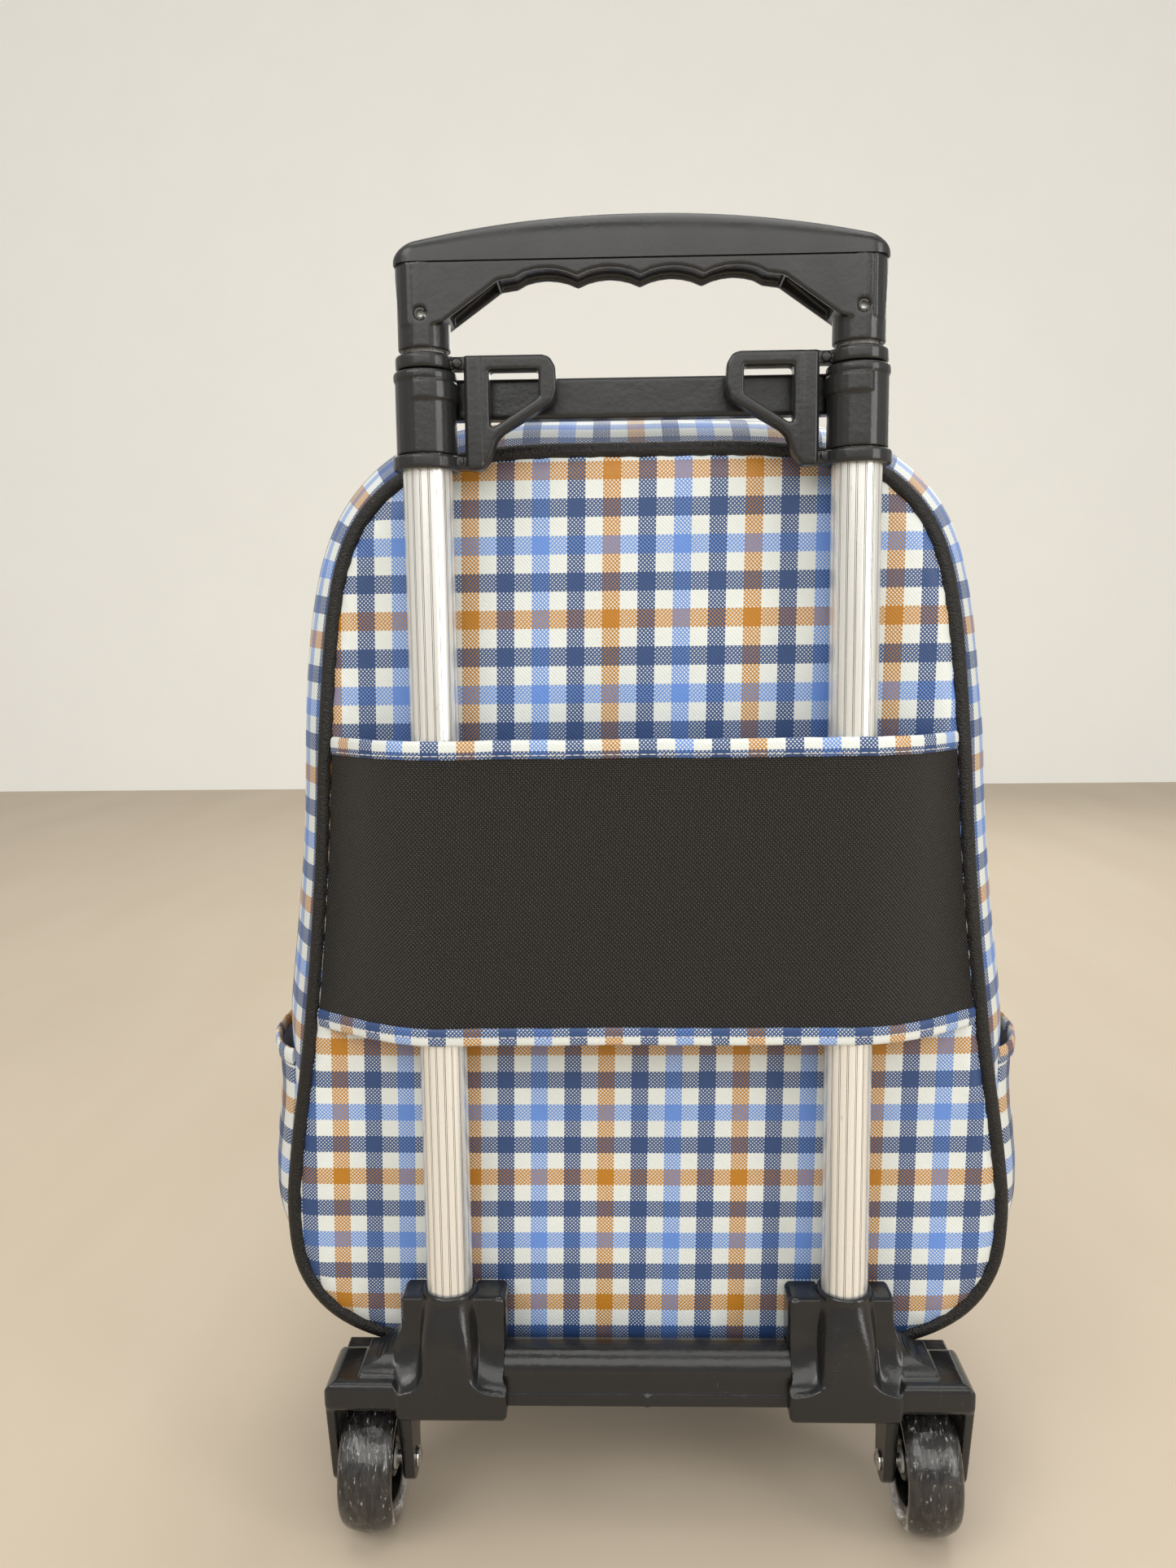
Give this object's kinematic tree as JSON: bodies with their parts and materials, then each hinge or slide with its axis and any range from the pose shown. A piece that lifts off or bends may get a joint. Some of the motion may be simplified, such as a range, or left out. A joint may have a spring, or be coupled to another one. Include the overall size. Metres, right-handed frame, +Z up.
{
  "type": "shopping trolley on wheels",
  "caption": "Upright shopping trolley: telescopic two-tube frame with grip, swivel hooks and wheels, carrying a checked bag with a fold-down front.",
  "frame": {"origin": "on the floor under the middle of the whole trolley", "axes": "+Z up, along the tubes; -Y towards the user, who sees the tubes and the handle; +Y towards the bag; +X to the right of the user"},
  "size_m": [0.3654, 0.2452, 0.5555],
  "materials": {
    "black_plastic": "satin moulded plastic with fine flow marks",
    "nylon": "natural nylon",
    "aluminium": "bright fluted aluminium",
    "plated_steel": "zinc plated",
    "clear_tyre": "clear smoky polyurethane",
    "wheel_core": "black moulded",
    "foot_rubber": "matt rubber",
    "checked_cloth": "coated cloth, woven check in navy, light blue, orange and white, fine grain",
    "leatherette": "black cross-grained leatherette",
    "lining_board": "grey board"
  },
  "bodies": {
    "frame": {"axle_left": "plated_steel", "axle_right": "plated_steel", "bag_back_panel": "checked_cloth", "bag_front_lower": "checked_cloth", "bag_sides": "checked_cloth", "base_board": "lining_board", "crossbar_screw_left": "plated_steel", "crossbar_screw_right": "plated_steel", "foot_pad_left": "foot_rubber", "foot_pad_right": "foot_rubber", "front_pocket": "checked_cloth", "front_stand": "black_plastic", "lower_crossbar": "black_plastic", "outer_tube_left": "aluminium", "outer_tube_right": "aluminium", "platform": "black_plastic", "platform_hinge_pin_left": "plated_steel", "platform_hinge_pin_right": "plated_steel", "pocket_zip_slider": "plated_steel", "rear_piping": "leatherette", "side_pocket_left": "checked_cloth", "side_pocket_right": "checked_cloth", "sleeve_band": "leatherette", "sleeve_binding_bottom": "checked_cloth", "sleeve_binding_top": "checked_cloth", "upper_crossbar": "black_plastic", "upper_socket_left": "black_plastic", "upper_socket_right": "black_plastic", "wheel_housing_left": "black_plastic", "wheel_housing_right": "black_plastic"},
    "handle": {"handle_grip": "black_plastic", "handle_top_cover": "black_plastic", "handle_roll_pin_left": "plated_steel", "handle_roll_pin_right": "plated_steel", "inner_tube_left": "aluminium", "inner_tube_right": "aluminium", "slide_bush_left": "nylon", "slide_bush_right": "nylon", "detent_spring_left": "plated_steel", "detent_spring_right": "plated_steel", "detent_button_left": "plated_steel", "detent_button_right": "plated_steel"},
    "hook_left": {"hook_left": "black_plastic"},
    "hook_right": {"hook_right": "black_plastic"},
    "wheel_left": {"tyre_left": "clear_tyre", "wheel_hub_left": "wheel_core", "wheel_bush_left": "nylon"},
    "wheel_right": {"tyre_right": "clear_tyre", "wheel_hub_right": "wheel_core", "wheel_bush_right": "nylon"},
    "flap": {"bag_flap": "checked_cloth", "main_zip_slider_left": "plated_steel", "main_zip_slider_right": "plated_steel"}
  },
  "joints": [
    {"name": "handle_slide", "type": "slide", "parent": "frame", "child": "handle", "axis": [0, 0, 1], "range_m": [0, 0.32]},
    {"name": "hook_left_swivel", "type": "hinge", "parent": "frame", "child": "hook_left", "pos_m": [-0.086, -0.09305, 0.4589], "axis": [0, 0, -1], "range_deg": [0, 180]},
    {"name": "hook_right_swivel", "type": "hinge", "parent": "frame", "child": "hook_right", "pos_m": [0.086, -0.09305, 0.4589], "axis": [0, 0, 1], "range_deg": [0, 180]},
    {"name": "wheel_left_spin", "type": "hinge", "parent": "frame", "child": "wheel_left", "pos_m": [-0.1215, -0.09305, 0.0295], "axis": [1, 0, 0], "continuous": true},
    {"name": "wheel_right_spin", "type": "hinge", "parent": "frame", "child": "wheel_right", "pos_m": [0.1215, -0.09305, 0.0295], "axis": [1, 0, 0], "continuous": true},
    {"name": "flap_hinge", "type": "hinge", "parent": "frame", "child": "flap", "pos_m": [0, 0.09895, 0.236], "axis": [-1, 0, 0], "range_deg": [0, 130]}
  ]
}
